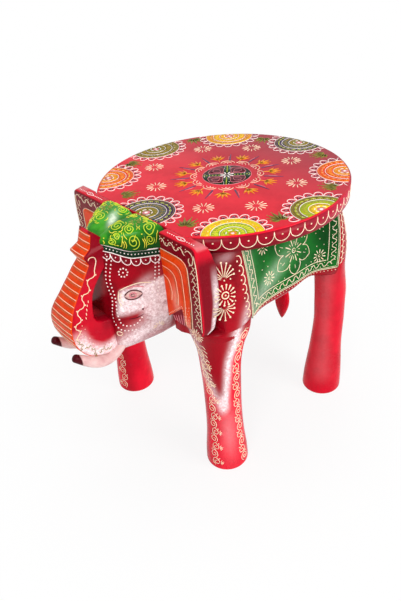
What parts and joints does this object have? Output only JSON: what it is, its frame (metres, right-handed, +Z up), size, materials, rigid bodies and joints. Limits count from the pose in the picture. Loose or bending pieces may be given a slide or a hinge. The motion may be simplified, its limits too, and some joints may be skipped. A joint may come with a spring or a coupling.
{
  "type": "stool",
  "caption": "Low carved wooden stool shaped as an elephant, with a round painted seat on its back, raised trunk, tusks and slab ears.",
  "frame": {"origin": "on the floor under the middle of the overall length, on the centre plane", "axes": "+Z up; -Y the way the elephant faces; +X its left side; Y is the length"},
  "size_m": [0.285, 0.3774, 0.312],
  "materials": {
    "red_lacquer": "gloss lacquer over bright red paint",
    "dark_red_lacquer": "gloss lacquer over dark red paint",
    "orange_lacquer": "gloss lacquer over orange paint",
    "pink_lacquer": "gloss lacquer over pink and silver paint",
    "bare_beech": "bare turned dowel"
  },
  "bodies": {
    "root": {"seat_board": "red_lacquer", "torso": "dark_red_lacquer", "head": "dark_red_lacquer", "trunk": "orange_lacquer", "tail": "dark_red_lacquer", "leg_front_left": "red_lacquer", "leg_front_right": "red_lacquer", "leg_rear_left": "red_lacquer", "leg_rear_right": "red_lacquer", "ear_left": "orange_lacquer", "ear_right": "orange_lacquer", "tusk_left": "pink_lacquer", "tusk_right": "pink_lacquer", "seat_dowels": "bare_beech", "head_dowels": "bare_beech", "trunk_dowel": "bare_beech", "tail_dowel": "bare_beech", "ear_dowels_left": "bare_beech", "ear_dowels_right": "bare_beech"}
  },
  "joints": []
}
